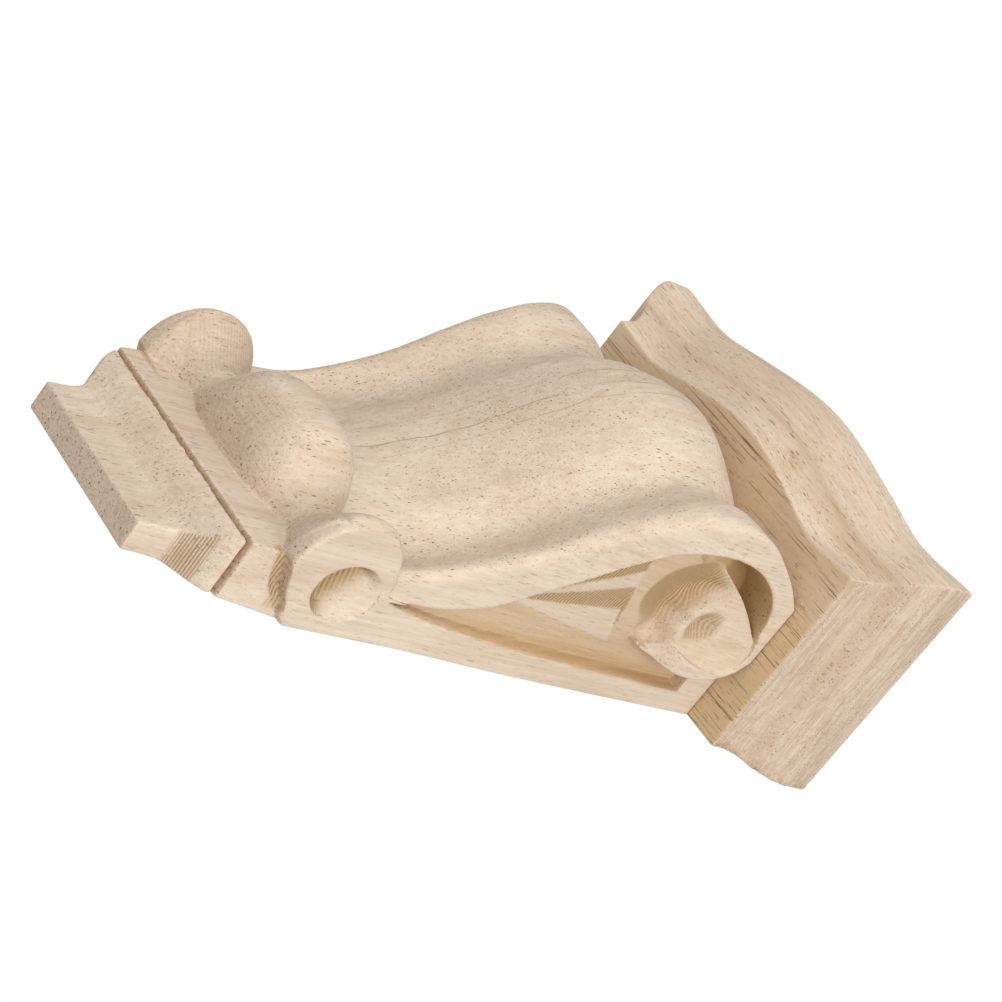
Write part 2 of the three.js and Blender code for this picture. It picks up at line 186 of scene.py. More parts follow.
# Inside of the volute: its rim from the tail of the ring round to the top, the edge over the
# deep hollow, the crease back along the ring, and the level of the wood at points within
INNER_RIM = [(151.7, 17.6), (147.8, 23.5), (143, 28.6), (141.2, 32.4), (141, 36.5), (142, 40.6),
             (145, 43.9), (149, 46.4)]
INNER_EDGE = [(149, 46.4), (154, 47.4), (158, 47), (161.5, 45.6), (165.7, 43.4), (170, 41.2),
              (175, 38.3), (180.4, 34.6), (186, 29.8)]
INNER_CREASE = [(186, 29.8), (187.3, 25.5), (185.6, 20.4), (180.5, 18.4), (173.5, 18.2),
                (166, 19.8), (161, 21.4)]
INNER_TAIL = [(161, 21.4), (158, 19.8), (155, 18), (151.7, 17.6)]
INNER_LEVELS = [
    (151, 25, 40.6), (149.5, 31.5, 40.3), (151.5, 37.5, 40.9), (156, 41.8, 41.8),
    (160, 43.6, 42.2), (155.5, 20.5, 40.2), (156.8, 23.2, 39.8), (157.6, 28.5, 39.7),
    (161.5, 35.2, 40.6), (165.5, 39.3, 42.0), (160, 21.4, 44.4), (159.1, 25.2, 44.5),
    (160.4, 31, 44.6), (164.2, 34, 44.9), (168.2, 35.8, 45.2), (170.5, 38.2, 45.3),
    (168, 28.2, 41.4), (165.5, 26.5, 42.6), (173, 31, 45.7), (173, 27, 45.9),
    (169.5, 23.6, 46.0), (164, 22.4, 45.6), (155, 46.6, 43.2), (158.5, 46, 42.6),
    (176, 34, 46.2), (182, 28, 47.3), (179, 24, 47.1), (172.5, 20.8, 46.9),
    (166, 20.6, 46.8), (173.5, 18.6, 48.1), (180.5, 18.9, 48.4), (185.3, 21, 48.6),
    (187, 25.5, 48.5), (180, 34, 46.6), (174.6, 38, 45.9), (169.6, 41, 45.1), (165, 43, 44.2)]
RIM_SINK = 0.1
PLATE_SLACK = 2.0
DEEP_RING = [(144, 49.6), (149, 50.9), (155, 51.6), (161.8, 51.2), (168.1, 49.6), (174.3, 46.7),
             (178.4, 43.8), (181.7, 40.2), (183.5, 36.4), (184.4, 32.6), (186, 29.8)]
DEEP_FLOOR = [(144, 44.6), (150, 44.2), (156, 43.7), (161, 42.8), (165, 41.2), (170, 38.8),
              (176, 36.7), (186, 35.2)]
DEEP_START_RUN = 9
DEEP_START_LEVEL = 45.5
SLOPE_FOOT = [(152, 48), (159, 47), (163.5, 44), (167, 41.2), (166.6, 38.4), (162.8, 34.4),
              (159, 29.6), (157.8, 24.4), (156.8, 20), (154, 17.8)]
DIMPLE = [(163, 23.6), (162.4, 27.5), (162.6, 31.5), (167, 33.6), (171.8, 33), (173, 29.5),
          (172, 26), (169, 24)]
VOLUTE_PLACE = (161.5, 32.0)
TAIL_TURN = 226
TAIL_SPAN = 70
TAIL_LEFT = 150
TAIL_LOW = 146
TAIL_LIFT = 0.3

# Cutter marks, and sunk wood darkened by the tone of torn wood and by painted shade, on the body,
# with fades as above
SIDE_START = 30
SLOPE_RIM_SHARE = 1.35
SLOPE_FADE = (1.4, 4.8)
SLOPE_BACK = (19, 11)
SLOPE_LEAST = 0.15
EARLY_END = (163, 6)
EARLY_FACE = (47.5, 2)
CHIP_UPPER_END = (0.17, 0.06)
CHIP_LOWER_START = (0.40, 0.05)
CHIP_LOWER_END = (0.68, 0.05)
DEEP_FADE = (0.9, 0.8)
DEEP_FACE = (50.4, 2.2)
DEEP_START = (147, 9)
RECESS_LEAST = 0.80
RECESS_MORE = 0.60
RECESS_BACK = (12, 4)
FLANK_START = (31, 2)
FLANK_END = (42, 4)
FLANK_REACH = (12, 5)
FLANK_MIDDLE = 4
FLANK_DEPTH = 12
VALLEY_START = (34, 3)
VALLEY_END = (60, 3)
VALLEY_INNER = (24, 4)
VALLEY_OUTER = (39, 3)
VALLEY_DEPTH = 10
FAINT = 0.3
CHIP_EASE = 0.4
INNER_EASE = 0.9
EARLY_EASE = 0.6
DIMPLE_EASE = 1.3
GROOVE_EASE = 0.4
DIMPLE_CUT = 0.7
# How dark the sunk places are, partly painted shade
DIMPLE_DARK = 0.4
RECESS_DARK = 0.55
CHIP_LOWER_DARK = 0.7
CHIP_CLEAN = 0.9
GROOVE_DARK = 0.5
INNER_DARK = 0.20

# Cap
CAP_HALF_WIDTH = 56.3
CAP_CORNER_DEPTH = 59.7
CAP_SWELL = 6.6
CAP_SWELL_REACH = 0.72
CAP_DIP = 1.2
CAP_DIP_FADE = (0.45, 0.55)
CAP_TOP_EDGE = 1.1
CAP_BACK_EDGE = 0.6
CAP_LOW_EDGE = 0.4
FILLET_RISE = 4.4
FILLET_OUT = 0.7
COVE_RISE = 6.8
COVE_OUT = 5.3
COVE_SHARES = (0.55, 0.45)
QUIRK_RISE = 0.9
QUIRK_OUT = 1.1
OVOLO_RISE = 11.0
OVOLO_OUT = 5.2
# Splinters at the back of the ends: sizes and seeds of two layers, and how far they reach
SPLINTER_SIZES = (1.6, 0.8)
SPLINTER_SEEDS = (31, 32)
SPLINTER_LEAST = 0.05
SPLINTER_FINE_SHARE = 0.5
SPLINTER_RUN = 2.5
SPLINTER_DEPTH = 2.4
SPLINTER_HEIGHT = 1.1

# Wood: tones
BODY_PALE = (0.745, 0.625, 0.49)
BODY_TAN = (0.61, 0.475, 0.345)
BODY_PORE = (0.19, 0.11, 0.055)
CAP_PALE = (0.77, 0.64, 0.49)
CAP_TAN = (0.63, 0.475, 0.33)
CAP_PORE = (0.19, 0.105, 0.05)
GROWTH_TONE = (0.30, 0.17, 0.085)
# The underside's own darker, redder tone together with painted shade
UNDER_TONE_AND_SHADE = (0.62, 0.43, 0.22)
VESSEL_TONE = (0.27, 0.155, 0.075)

# Wood: stains and painted shade, each a tone and how strongly it is blended in
SLOW_STAIN = ((0.52, 0.36, 0.23), 0.36)
END_STAIN = ((0.47, 0.35, 0.26), 0.38)
BAND_STAIN = ((0.45, 0.31, 0.20), 0.62)
THREAD_STAIN = ((0.84, 0.75, 0.64), 0.32)
# Painted shade on faces turned down
DOWNWARD_SHADE = ((0.49, 0.36, 0.24), 0.42)
KNOT_STAIN = ((0.40, 0.225, 0.10), 0.85)
BREAK_STAIN = ((0.42, 0.24, 0.10), 0.75)
# Sunk wood: the tone of torn wood together with painted shade in the hollows
SUNK_TONE_AND_SHADE = ((0.51, 0.32, 0.13), 0.84)
COMB_STAIN = ((0.50, 0.32, 0.14), 0.30)
# Painted shade in the foot's groove
FOOT_GROOVE_SHADE = ((0.36, 0.20, 0.085), 0.62)
CUTTER_STAIN = ((0.36, 0.225, 0.10), 0.34)
STEP_DARK_STAIN = ((0.29, 0.17, 0.08), 0.72)
STEP_LIGHT_STAIN = ((0.84, 0.71, 0.54), 0.26)
HOLE_STAIN = (BODY_PORE, 0.75)
STIPPLE_STAIN = ((0.34, 0.235, 0.15), 0.34)
# Painted shade in closed corners of the body and of the cap
BODY_CORNER_SHADE = ((0.42, 0.235, 0.09), 0.62)
CAP_CORNER_SHADE = ((0.42, 0.29, 0.17), 0.4)
PORE_SHARE = 0.90
SIDE_CLOSING = 0.6
UNDER_TONE_AND_SHADE_SHARE = 0.64
UNDER_STRIP_SHARE = 0.36
VESSEL_SHARE = 0.35
VESSEL_MORE_BELOW = 0.6

# Wood: sizes across and along the grain, and the range of its noise over which each shows
CLOUD_SIZE = (14, 60)
CLOUD_SHARE = 0.36
STREAK_SIZE = (1.2, 60)
STREAK_SHARE = 0.42
FINE_SIZE = (0.32, 8)
FINE_SHARE = 0.22
GRAIN_RANGE = (0.38, 0.62)
SLOW_SIZE = (4.5, 120)
SLOW_RANGE = (0.52, 0.70)
DRIFT_SIZE = (9, 70)
DRIFT_REACH = 4.0
PATCH_SIZE = (5, 26)
PATCH_RANGE = (0.34, 0.60)
CROWD_SIZE = (8, 26)
CROWD_RANGE = (0.38, 0.62)
CROWD_LEAST = 0.35
VESSEL_SIZE = (0.5, 24)
VESSEL_RANGE = (0.60, 0.68)
WHORL_SIZE = (0.9, 3)
WHORL_RANGE = (0.35, 0.65)
WAVER_SIZE = (3, 3)
GAP_SIZE = (0.7, 0.9)
GAP_RANGE = (0.28, 0.48)
HOLE_SIZE = (1.15, 4)
HOLE_WIDTH = 0.30
HOLE_EDGE = 0.04
# Pores: size, length, least width, how much wider some are, strength
PORES = [(0.66, 6.4, 0.12, 0.18, 1.0), (0.42, 3.4, 0.11, 0.15, 0.75),
         (0.30, 2.2, 0.10, 0.14, 0.55)]
PORE_EDGE = 0.05
PORE_PICK = (0.15, 0.7)
# Growth lines: place across the width, width, strength; they fade out between two heights
GROWTH_LINES = [(-0.9, 0.34, 0.8), (3.3, 0.26, 0.6), (-8, 0.5, 0.4)]
GROWTH_LOW = -50
GROWTH_FULL = -40
# End grain of the cap, sizes along x, y and z
BAND_SIZE = (20, 50, 2.2)
BAND_RANGE = (0.40, 0.60)
THREAD_SIZE = (0.6, 4, 0.4)
THREAD_RANGE = (0.45, 0.70)

# Wood: how far a face is turned before it counts as end grain, side, underside or comb, or gets
# painted shade for facing down
END_FACING = (0.35, 0.9)
SIDE_FACING = (0.70, 0.97)
DOWNWARD_SHADE_RANGE = (0.25, 0.85)
DOWN_RANGE = (0.5, 0.95)
COMB_FACING = (0.35, 0.6)

# Wood: places. Depths are out from the back, heights from the piece's own foot
UNDER_HEIGHT = (0.5, 1.2)
UNDER_STRIP = (42.5, 44.5)
KNOT = (13.5, 8.2, 1.6)
KNOT_RIM = (0.3, 1.5)
KNOT_STRETCH = 2.2
KNOT_DEPTH = (50, 52)
BREAK_DEPTH = (3.5, 0.5)
BREAK_RANGE = (0.42, 0.60)
COMB_LOW = (10.0, 12.0)
COMB_TOP = (15.8, 16.6)
# Painted shade in the foot's groove: reach from its middle, and depth out from the back
FOOT_GROOVE_SHADE_REACH = (0.4, 0.85)
FOOT_GROOVE_SHADE_DEPTH = (0.4, 0.8)
CUTTER_PITCH = 1.05
CUTTER_WAVER = 1.1
TOOTH_PITCH = 0.5
STEP_DARK_RANGE = (0.10, 0.95)
STEP_LIGHT_RANGE = (-0.35, -1.0)
STIPPLE_RANGE = (0.50, 0.62)

# Wood: noises that don't follow the grain, as how many of their waves fit in a metre
BREAK_SCALE = 420.0
STIPPLE_SCALE = 1300.0
FUZZ_SCALE = 1700.0
ROUGH_SCALE = 2200.0

# Wood: relief, and painted shade in closed corners
FINE_RELIEF = 0.22
PORE_RELIEF = 0.7
STEP_RELIEF = 0.7
FUZZ_RELIEF = 0.25
ROUGH_RELIEF = 0.7
RELIEF_DEPTH = 0.25
BUMP_STRENGTH = 0.6
CORNER_SHADE_REACH = 6.0
CORNER_SHADE_RANGE = (0.52, 1.0)
ROUGHNESS = 0.66
SPECULAR = 0.25

# Lamps in metres and watts: place, power, size
LAMP_AIM = (0, -0.03, 0)
LAMPS = {"key": ((0.20, -1.45, -0.10), 4.2, 0.4),
         "side": ((1.38, -0.50, -0.20), 9.2, 0.7),
         "front": ((0.75, -0.45, -1.20), 6.0, 0.9),
         "back": ((-0.70, 1.30, 0.60), 6.0, 0.9)}
SKY_LIGHT = 0.60
SKY_SEEN = 1.0

# Camera, its places in metres, for a square picture
CAMERA_SENSOR = 36
CAMERA_PLACE = (0.37496, -0.22640, -0.45952)
CAMERA_TARGET = (0.00887, -0.02819, 0.00410)
CAMERA_ROLL = 105.83
CAMERA_LENS = 89.58
CAMERA_CLIP = (0.01, 50)


def smooth(t):
    return (1 - np.cos(np.pi * np.clip(t, 0, 1))) / 2


def past(value, start, run):
    """0 up to start, 1 from start + run on."""
    return smooth((value - start) / run)


def before(value, end, run):
    """1 up to end - run, 0 from end on."""
    return smooth((end - value) / run)


def mix(a, b, t):
    return a + (b - a) * t


def curve(stations):
    """Smooth curve through (position, value) stations that never overshoots them."""
    x, y = np.array(stations, float).T
    slopes = np.diff(y) / np.diff(x)
    a, b = slopes[:-1], slopes[1:]
    total = np.where(a + b == 0, 1, a + b)
    inner = np.where(a * b <= 0, 0, 2 * a * b / total)
    tangents = np.concatenate([slopes[:1], inner, slopes[-1:]])

    def at(q):
        q = np.clip(q, x[0], x[-1])
        i = np.clip(np.searchsorted(x, q, side="right") - 1, 0, len(x) - 2)
        span = x[i + 1] - x[i]
        t = (q - x[i]) / span
        return ((2 * t**3 - 3 * t**2 + 1) * y[i] + (t**3 - 2 * t**2 + t) * span * tangents[i]
                + (3 * t**2 - 2 * t**3) * y[i + 1] + (t**3 - t**2) * span * tangents[i + 1])

    return at


def smin(a, b, k):
    """Union with a fillet of about radius k."""
    m = np.maximum(k - np.abs(a - b), 0)
    return np.minimum(a, b) - m * m / (4 * k)


def smax(a, b, k):
    """Overlap with an eased edge of about radius k."""
    m = np.maximum(k - np.abs(a - b), 0)
    return np.maximum(a, b) + m * m / (4 * k)


def spline(points, steps=7):
    """Catmull-Rom line through points."""
    p = np.array(points, float)
    ext = np.vstack([2 * p[0] - p[1], p, 2 * p[-1] - p[-2]])
    t = np.linspace(0, 1, steps, endpoint=False)[:, None]
    out = []
    for i in range(1, len(ext) - 2):
        a, b, c, d = ext[i - 1:i + 3]
        out.append(b + 0.5 * t * (c - a) + t**2 * (a - 2.5 * b + 2 * c - 0.5 * d)
                   + t**3 * (1.5 * (b - c) + 0.5 * (d - a)))
    return np.vstack(out + [p[-1:]])


def region(h, w, *lines):
    """Signed distance to the closed outline that the lines make end to end."""
    loop = np.vstack(lines)
    ends = np.roll(loop, -1, axis=0)
    best = np.full(h.shape, 1e9)
    inside = np.zeros(h.shape, bool)
    for (ah, aw), (bh, bw) in zip(loop, ends):
        dh, dw = bh - ah, bw - aw
        length = dh * dh + dw * dw
        if length < 1e-12:
            continue
        t = np.clip(((h - ah) * dh + (w - aw) * dw) / length, 0, 1)
        best = np.minimum(best, (h - ah - t * dh) ** 2 + (w - aw - t * dw) ** 2)
        if aw != bw:
            inside ^= ((aw > w) != (bw > w)) & (h < ah + dh * (w - aw) / dw)
    return np.where(inside, -1, 1) * np.sqrt(best)


def noise(axes, size, seed):
    """Smooth random field over the grid of the given axes, from about -1 to 1."""
    draw = np.random.default_rng(seed)
    field = draw.uniform(-1, 1, [int((a[-1] - a[0]) / size) + 3 for a in axes])
    for k, a in enumerate(axes):
        place = (a - a[0]) / size
        i = place.astype(int)
        t = place - i
        t = t * t * (3 - 2 * t)
        shape = [1] * field.ndim
        shape[k] = -1
        t = t.reshape(shape).astype(np.float32)
        field = np.take(field, i, k) * (1 - t) + np.take(field, i + 1, k) * t
    return field.astype(np.float32)


# Curves through the stations above
foot_line = curve(FOOT_LINE)
ridge_line = curve(RIDGE_LINE)
middle_rise = curve(MIDDLE_RISE)
scroll_side = curve(SCROLL_SIDE)
strip_side = curve(STRIP_SIDE)
recess_low = curve(RECESS_LOW)
deep_floor = curve(DEEP_FLOOR)
chip_steps = curve(CHIP_STEPS)
disc_left = curve(DISC_LEFT)


def scroll_section(s):
    """Radius, depth and height of the lower scroll's centre at s."""
    t = smooth(np.clip(s / VALLEY_OUT, 0, 1) ** VALLEY_EASE)
    u = smooth((s - VALLEY_OUT) / (DISC_OUT - VALLEY_OUT))
    inner = s < VALLEY_OUT
    radius = np.where(inner, mix(BULGE_RADIUS, VALLEY_RADIUS, t),
                      mix(VALLEY_RADIUS, DISC_RADIUS, u))
    depth = np.where(inner, mix(BULGE_CENTRE, VALLEY_CENTRE, t),
                     mix(VALLEY_CENTRE, DISC_CENTRE, u))
    height = np.where(inner, mix(BULGE_HEIGHT, DISC_HEIGHT, t), DISC_HEIGHT)
    return radius, depth, height


def recess_floor(h, w):
    """Level of the sunk triangle's floor, which rises and tilts towards the volute."""
    start, run = FLOOR_RISE_FADE
    rise = FLOOR_RISE * np.clip((h - start) / run, 0, 1)
    tilt = FLOOR_SLOPE * (w - FLOOR_SLOPE_FROM) * past(h, *FLOOR_SLOPE_FADE)
    return FLOOR_LOW + rise + tilt


def ring_level(h, w):
    """Face of the S band and the volute's ring, which sinks to the recess floor at its tail."""
    turn = np.degrees(np.arctan2(w - VOLUTE_PLACE[1], h - VOLUTE_PLACE[0])) % 360
    tail = smooth((turn - TAIL_TURN) / TAIL_SPAN)
    left = (turn > TAIL_LEFT) & (turn < TAIL_TURN + TAIL_SPAN) & (h > TAIL_LOW)
    sunk = mix(recess_floor(h, w) + TAIL_LIFT, scroll_side(h), tail)
    return np.where(left, sunk, scroll_side(h))


def thin_plate(h, w, points):
    """Smooth surface through the (h, w, level) points."""
    known = np.array(points, float)

    def bend(gap):
        return np.where(gap > 0, gap * np.log(np.maximum(gap, 1e-9)), 0)

    count = len(known)
    gaps = ((known[:, None, :2] - known[None, :, :2]) ** 2).sum(2)
    plane = np.column_stack([np.ones(count), known[:, :2]])
    system = np.zeros((count + 3, count + 3))
    system[:count, :count] = bend(gaps) + np.eye(count) * PLATE_SLACK
    system[:count, count:] = plane
    system[count:, :count] = plane.T
    weights = np.linalg.solve(system, np.concatenate([known[:, 2], np.zeros(3)]))
    level = weights[count] + weights[count + 1] * h + weights[count + 2] * w
    for (kh, kw, _), weight in zip(known, weights):
        level = level + weight * bend((h - kh) ** 2 + (w - kw) ** 2)
    return level


def side_fields(h, w):
    """Everything about the side relief that depends on h and w alone."""
    out = {}
    parting = curve(PARTING)
    slope = parting(h + 0.5) - parting(h - 0.5)
    out["parting"] = (parting(h) - w) / np.sqrt(1 + slope**2)
    out["ring"] = ring_level(h, w)
    out["strip"] = strip_side(h)

    # Sunk triangle, with a cove along the strip
    low = np.array([(at, recess_low(at)) for at in np.linspace(RECESS_END, RECESS_LOW[0][0], 30)])
    out["recess"] = region(h, w, spline(RECESS_TOP), spline(RECESS_RIGHT),
                           spline(RECESS_UNDER_BOSS), spline(RECESS_RING), low)
    cove = 1 - smooth((w - recess_low(h)) / COVE_RUN)
    out["floor"] = mix(recess_floor(h, w), out["strip"] + COVE_LIFT, cove)

    # Three-cornered chip with its two worn bands
    out["chip"] = region(h, w, np.array(CHIP, float))
    (ah, aw), (bh, bw), (ch, cw) = CHIP
    top = aw + (bw - aw) * (h - ah) / (bh - ah)
    foot = aw + (cw - aw) * (h - ah) / (ch - ah)
    below = np.clip((top - w) / np.maximum(top - foot, 0.5), 0, 1)
    right = ((ch - bh) * (w - bw) - (cw - bw) * (h - bh)) / math.hypot(ch - bh, cw - bw)
    grown = np.clip((h - ah) / (bh - ah), 0, 1) ** CHIP_GROWTH
    grown = grown * mix(CHIP_SIDE_LEAST, 1, smooth(right / CHIP_SIDE))
    out["chip_share"] = below
    out["chip_floor"] = recess_floor(h, w) + CHIP_LIFT - (chip_steps(below) + CHIP_LEAST) * grown

    # Deep hollow behind the boss, and the boss with the slope inside the ribbon
    out["deep"] = region(h, w, spline(DEEP_RING), spline(INNER_EDGE[::-1]))
    start = past(h, DEEP_FLOOR[0][0], DEEP_START_RUN)
    above = np.minimum(recess_floor(h, w), DEEP_START_LEVEL)
    out["deep_floor"] = mix(above, deep_floor(h), start)
    out["inner"] = region(h, w, spline(INNER_RIM), spline(INNER_EDGE), spline(INNER_CREASE),
                          spline(INNER_TAIL))
    rim = [(a, b, recess_floor(a, b) - RIM_SINK) for a, b in INNER_RIM]
    out["inner_floor"] = thin_plate(h, w, INNER_LEVELS + rim)

    # Groove beside the disc, and the disc's eye
    out["disc_groove"] = region(h, w, spline(DISC_GROOVE))
    out["groove_floor"] = DISC_GROOVE_LEVEL + DISC_GROOVE_RISE * before(w, *DISC_GROOVE_FADE)
    eh = (h - EYE_PLACE[0]) / EYE_RADII[0]
    ew = (w - EYE_PLACE[1]) / EYE_RADII[1]
    reach = np.hypot(eh, ew)
    toward = EYE_TOWARD[1] * ew + EYE_TOWARD[0] * eh
    deep = mix(EYE_LEAST, EYE_SINK, past(toward, *EYE_SINK_FADE))
    out["eye"] = np.where(reach < 1, 1, 0) * past(toward, *EYE_MARK_FADE)
    out["eye_floor"] = DISC_SIDE - deep * before(reach, *EYE_RIM)
    return out


def foot_faces(S, W, h):
    """Front and side of the foot and the band above it, as signed distances."""
    share = foot_line(h)
    depth = mix(FOOT_DEPTH, BAND_DEPTH, share)
    half = (mix(FOOT_HALF_WIDTH, BAND_HALF_WIDTH, share)
            + BAND_FLARE * np.clip((h - BAND_START) / (BAND_END - BAND_START), 0, 1))

    def beyond(place, line):
        lean = 1 / np.sqrt(1 + np.gradient(line, h) ** 2)
        return ((place - line[None, :, None]) * lean[None, :, None]).astype(np.float32)

    return beyond(W, depth), beyond(S, half)


def lower_scroll(s, H, W):
    """Round front of the lower scroll: its bulge, valleys and discs."""
    radius, depth, height = scroll_section(s)
    steep = 1 / np.sqrt(1 + np.gradient(radius + depth, s) ** 2)
    off = H - height[:, None, None]
    above = np.maximum(W - depth[:, None, None], 0)
    turned = (np.hypot(off, above) - radius[:, None, None]) * steep[:, None, None]
    return turned.astype(np.float32)


def upper_scroll(s, h, W):
    """Front of the S scroll, above the lower one: its middle swell, flutes and ridges."""
    s2, h2 = np.meshgrid(s, h, indexing="ij")
    rise = middle_rise(h2) * (1 - smooth(s2 / MIDDLE_REACH))
    flute = FLUTE_SINK * (1 - smooth(np.abs(s2 - FLUTE_OUT) / FLUTE_REACH))
    front = ridge_line(h2) + rise - flute
    along_s, along_h = np.gradient(front, s, h)
    normal = 1 / np.sqrt(1 + along_s**2 + along_h**2)
    scroll = (W - front.astype(np.float32)[:, :, None]) * normal.astype(np.float32)[:, :, None]
    below = h2 < scroll_section(s)[2][:, None]
    return np.where(below[:, :, None], np.float32(FAR), scroll)


def side_faces(S, H, hw_h, hw_w, side, foot_side):
    """Both sides before they are hollowed: foot, strip, S band and disc."""
    band = smax(S - side["ring"], side["parting"], SOFT)
    strip = smax(S - side["strip"], -side["parting"] - STRIP_LAP, CRISP)
    disc = np.hypot(hw_h - DISC_HEIGHT, np.maximum(hw_w - DISC_CENTRE, 0))
    disc = disc - DISC_RADIUS + DISC_TRIM
    disc = np.where(hw_w < DISC_CENTRE, np.maximum(disc, disc_left(hw_w) - hw_h), disc)
    disc = smax(S - DISC_SIDE, disc.astype(np.float32)[None], DISC_EDGE)
    envelope = smin(smin(band, strip, CRISP), disc, DISC_FILLET)
    lower = smax(foot_side, H - np.float32(BAND_END + BAND_LAP), CRISP)
    behind = np.maximum(np.float32(BAND_END), disc_left(hw_w).astype(np.float32)[None]) - H
    envelope = smax(envelope, behind, CRISP)
    sides = smin(lower, smin(envelope, disc, CRISP), SIDE_FILLET)
    return np.where(H > CORE_START, np.minimum(sides, S - CORE_HALF_WIDTH), sides)


def hollow_sides(sides, S, H, side):
    """Carves the side relief into the sides."""

    def sink(field, outline, floor):
        fillet, edge = HOLLOW_EDGES[outline]
        return smax(field, -smax(side[outline], side[floor] - S, fillet), edge)

    sides = sink(sides, "recess", "floor")
    sides = sink(sides, "chip", "chip_floor")
    sides = sink(sides, "inner", "inner_floor")
    # The boss stands up from the sunk triangle
    sides = smin(sides, smax(side["inner"], S - side["inner_floor"], SOFT), CRISP)
    sides = sink(sides, "deep", "deep_floor")
    sides = sink(sides, "disc_groove", "groove_floor")
    eye_zone = (H < EYE_TOP) & (side["eye_floor"] < DISC_SIDE - EYE_SKIN)
    return np.where(eye_zone, smax(sides, (S - side["eye_floor"]) * EYE_LEAN, SOFT), sides)


def cut_groove(solid, s, h, w):
    """V groove round the foot, to a depth below the surface, and the torn wood at it."""
    off = np.abs(h - GROOVE_HEIGHT)[None, :, None]
    cut = off - GROOVE_HALF * (1 + solid / GROOVE_DEPTH)
    tilt = GROOVE_DEPTH / math.hypot(GROOVE_DEPTH, GROOVE_HALF)
    solid = smax(solid, -(cut * tilt).astype(np.float32), CRISP)
    torn = sum(noise((s, h, w), size, seed) * rise for size, rise, seed in GROOVE_TEARS)
    within = np.clip(1 - off / GROOVE_TEAR_REACH, 0, 1)
    return solid + (torn * within * GROOVE_TEAR_SHARE).astype(np.float32)


def body_field(s, h, w):
    """Signed distance of the body over the grid s, h, w."""
    S, H, W = s[:, None, None], h[None, :, None], w[None, None, :]
    hw_h, hw_w = np.meshgrid(h, w, indexing="ij")
    side = {k: v.astype(np.float32)[None] for k, v in side_fields(hw_h, hw_w).items()}

    foot_front, foot_side = foot_faces(S, W, h)
    front = smin(foot_front, lower_scroll(s, H, W), FOOT_FILLET)
    front = smin(front, upper_scroll(s, h, W), SCROLL_FILLET)
    sides = side_faces(S, H, hw_h, hw_w, side, foot_side)
    sides = hollow_sides(sides, S, H, side)
    edge = np.interp(h, *zip(*EDGE_EASE))
    solid = smax(front, sides, edge.astype(np.float32)[None, :, None])
    solid = cut_groove(solid, s, h, w)

    solid = smax(solid, -W, SOFT)
    solid = smax(solid, -H, SOFT)
    return np.maximum(solid, H - np.float32(BODY_TOP))


def hand_marks(s, h, w):
    """Shares, at points of the body, of cutter marks and of sunk wood, darkened by the tone of
    torn wood and by painted shade.
    """
    side = side_fields(h, w)
    reach = np.abs(s)

    def inside(field, ease=SOFT):
        return smooth((ease - field) / (2 * ease))

    on_side = reach > SIDE_START
    share = side["chip_share"]
    chip = inside(side["chip"], CHIP_EASE)
    upper = 1 - past(share, *CHIP_UPPER_END)
    lower = past(share, *CHIP_LOWER_START) * (1 - past(share, *CHIP_LOWER_END))
    inner = inside(side["inner"], INNER_EASE)

    # Slope from the ribbon's rim down to the boss
    outer_rim = [[mix(c, v, SLOPE_RIM_SHARE) for c, v in zip(VOLUTE_PLACE, point)]
                 for point in INNER_RIM]
    slope = before(region(h, w, spline(outer_rim), spline(SLOPE_FOOT)), *SLOPE_FADE)
    early = inside(side["deep"], EARLY_EASE) * before(h, *EARLY_END) * before(reach, *EARLY_FACE)
    slope = slope * np.maximum(inner, early) * mix(SLOPE_LEAST, 1, past(w, *SLOPE_BACK))

    dimple = inside(region(h, w, spline(DIMPLE)), DIMPLE_EASE)
    groove = inside(side["disc_groove"], GROOVE_EASE)
    deep = before(side["deep"], *DEEP_FADE) * before(reach, *DEEP_FACE)
    deep = deep * (1 - inside(side["inner"], CRISP)) * past(h, *DEEP_START)
    recess = inside(side["recess"]) * (RECESS_LEAST + RECESS_MORE * before(w, *RECESS_BACK))
    recess = recess * (1 - chip * (1 - upper) * CHIP_CLEAN)

    # Faint marks on the band under the bulge and in the valleys
    flank = past(h, *FLANK_START) * before(h, *FLANK_END)
    flank = flank * before(np.abs(s + FLANK_MIDDLE), *FLANK_REACH) * FAINT
    valley = past(h, *VALLEY_START) * before(h, *VALLEY_END)
    valley = valley * past(reach, *VALLEY_INNER) * before(reach, *VALLEY_OUTER) * FAINT

    cut = np.maximum.reduce([
        chip * upper, chip * lower, slope * on_side, dimple * on_side * DIMPLE_CUT,
        groove * on_side, side["eye"] * on_side, flank * (w > FLANK_DEPTH),
        valley * (w > VALLEY_DEPTH)])
    # Sunk: the slope's brown is the tone of torn wood; in the recess, the chip's bands, the
    # dimple, the disc groove, the deep hollow, the boss and the eye it is painted shade, partly
    # with that tone
    sunk = np.maximum.reduce([
        recess * on_side * RECESS_DARK, chip * upper, chip * lower * CHIP_LOWER_DARK,
        slope * on_side, dimple * on_side * DIMPLE_DARK, groove * on_side * GROOVE_DARK,
        deep * on_side, inner * on_side * INNER_DARK, side["eye"] * on_side])
    return cut, sunk


def cap_out(z):
    """Projection of the cap's moulding at height z above its underside."""
    cove_top = FILLET_RISE + COVE_RISE
    ovolo_low = cove_top + QUIRK_RISE
    turn = np.clip((z - FILLET_RISE) / COVE_RISE, 0, 1)
    arc, wave = COVE_SHARES
    cove = COVE_OUT * (1 - arc * np.sqrt(1 - turn**2) - wave * np.cos(np.pi / 2 * turn))
    ovolo = OVOLO_OUT * np.sin(np.pi / 2 * np.clip((z - ovolo_low) / OVOLO_RISE, 0, 1))
    return (FILLET_OUT * np.clip(z / FILLET_RISE, 0, 1) + cove
            + QUIRK_OUT * np.clip((z - cove_top) / QUIRK_RISE, 0, 1) + ovolo)


